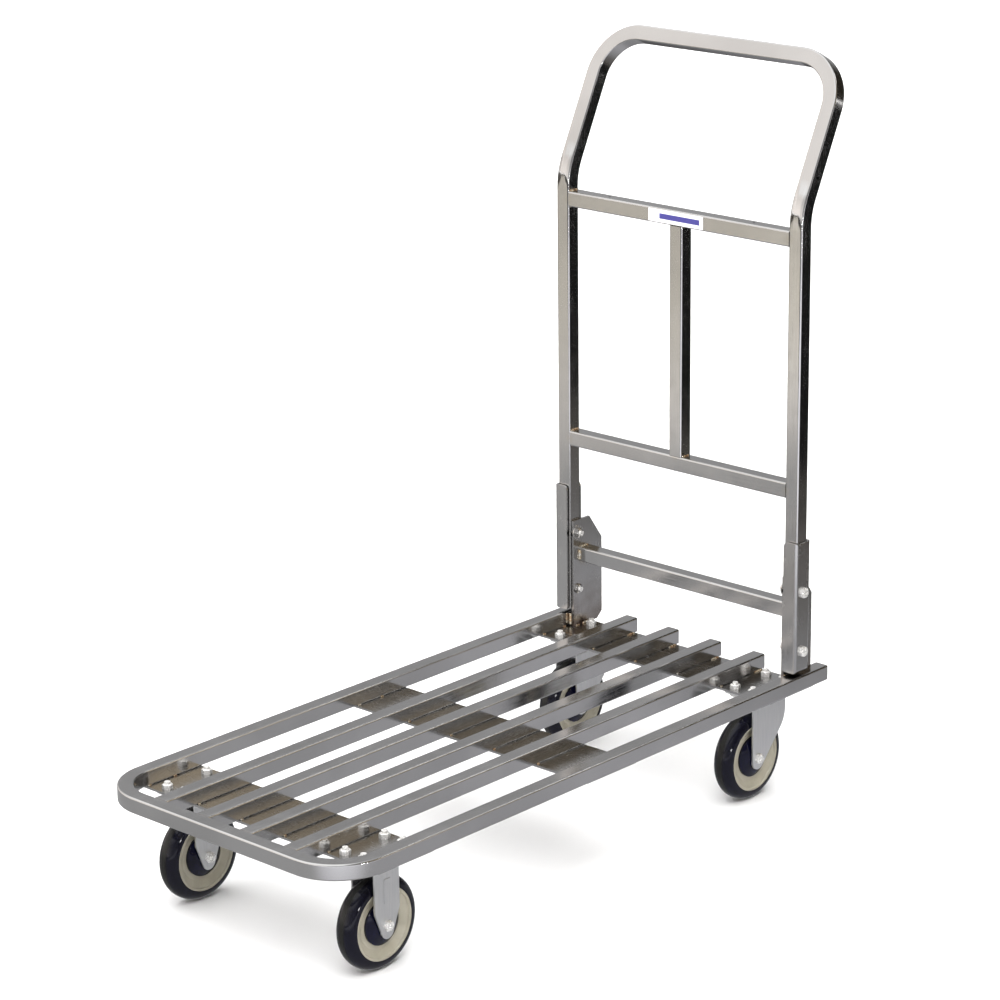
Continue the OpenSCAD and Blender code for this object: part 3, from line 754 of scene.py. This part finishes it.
# Spots that were heated by welding.
rung_heat = [
    (rung_x, y, (low.z + high.z) / 2)
    for low, high in rung_boxes for y in (-rung_end, rung_end)
]
spindle_heat = [(rung_x, 0, spindle_low.z), (rung_x, 0, spindle_high.z)]
bar_heat = [
    ((bar_low.x + bar_high.x) / 2, y, (bar_low.z + bar_high.z) / 2)
    for y in (-bar_high.y, bar_high.y)
]
foot_heat = [
    (x, y, plate_low.z) for y in (-plate_low.y, plate_low.y)
    for x in (plate_low.x, (plate_low.x + heel_weld) / 2, heel_weld)
]

deck_steel = steel("deck_steel", "x")
handle_steel = steel("handle_steel", "z", heat=rung_heat, heat_radius=15 * MM)
pinch(handle_steel)
rung_steel = steel("rung_steel", "y", heat=rung_heat + spindle_heat, heat_radius=15 * MM)
bar_steel = steel("bar_steel", "y", heat=bar_heat, heat_radius=18 * MM)
strip_steel = steel("strip_steel", "y", 0.21, shade=0.86)
plate_steel = steel("plate_steel", "z", 0.2, bar_heat + foot_heat, 22 * MM)
# Heat tint and painted reflection: the pivot plates turn brown towards their foot.
heat_tint_and_reflection_at_foot(plate_steel, plate_low.z, bar_low.z, (0.50, 0.44, 0.40))
channel_steel = steel("channel_steel", "z", 0.2)
bright_plate = bright("bright_plate")
nut_plate = bright("nut_plate", (0.62, 0.61, 0.60), 0.95)
caster_bolt_plate = bright("caster_bolt_plate", thread_foot=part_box("caster_nuts")[1].z)
weld = weld_metal()

wear(["rim_tube"] + [f"deck_slat_{number}" for number in SLATS], deck_steel.material)
wear(["handle_loop", "centre_spindle"], handle_steel.material)
wear(["upper_rung", "lower_rung"], rung_steel.material)
wear(["plate_crossbar"], bar_steel.material)
wear([f"cross_strip_{place}" for place in STRIPS], strip_steel.material)
wear(of_sides("pivot_plate"), plate_steel.material)
wear(of_sides("leg_channel"), channel_steel.material)
wear(of_sides("rigid_fork", "swivel_plate", "swivel_fork"), zinc())
wear(
    of_sides("swivel_pin", "swivel_balls", "rear_axle_bolt", "rear_axle_nut", "rear_axle_sleeve")
    + ["caster_nuts", "front_axle_bolts", "front_axle_nuts", "front_axle_sleeves"]
    + ["pivot_bolts", "lock_bolts"],
    bright_plate,
)
wear(["lock_washers", "bracket_nuts"], nut_plate)
wear(["caster_bolts"], caster_bolt_plate)
wear([f"tyre_{place}" for place in PLACES], tyre_rubber())
wear([f"wheel_core_{place}" for place in PLACES], core_plastic())
wear([f"thread_guards_{place}" for place in PLACES], guard_plastic())
wear([f"wheel_bush_{place}" for place in PLACES], bush_plastic())
wear(["blank_label"], label_film())

round_edges([f"cross_strip_{place}" for place in STRIPS], 0.9 * MM, 3)
round_edges(of_sides("pivot_plate"), 0.4 * MM)

beads("handle_weld_beads", "handle", handle_welds())
beads("bracket_weld_beads", "deck", bracket_welds())
beads("deck_weld_beads", "deck", deck_welds())

studio()
camera()
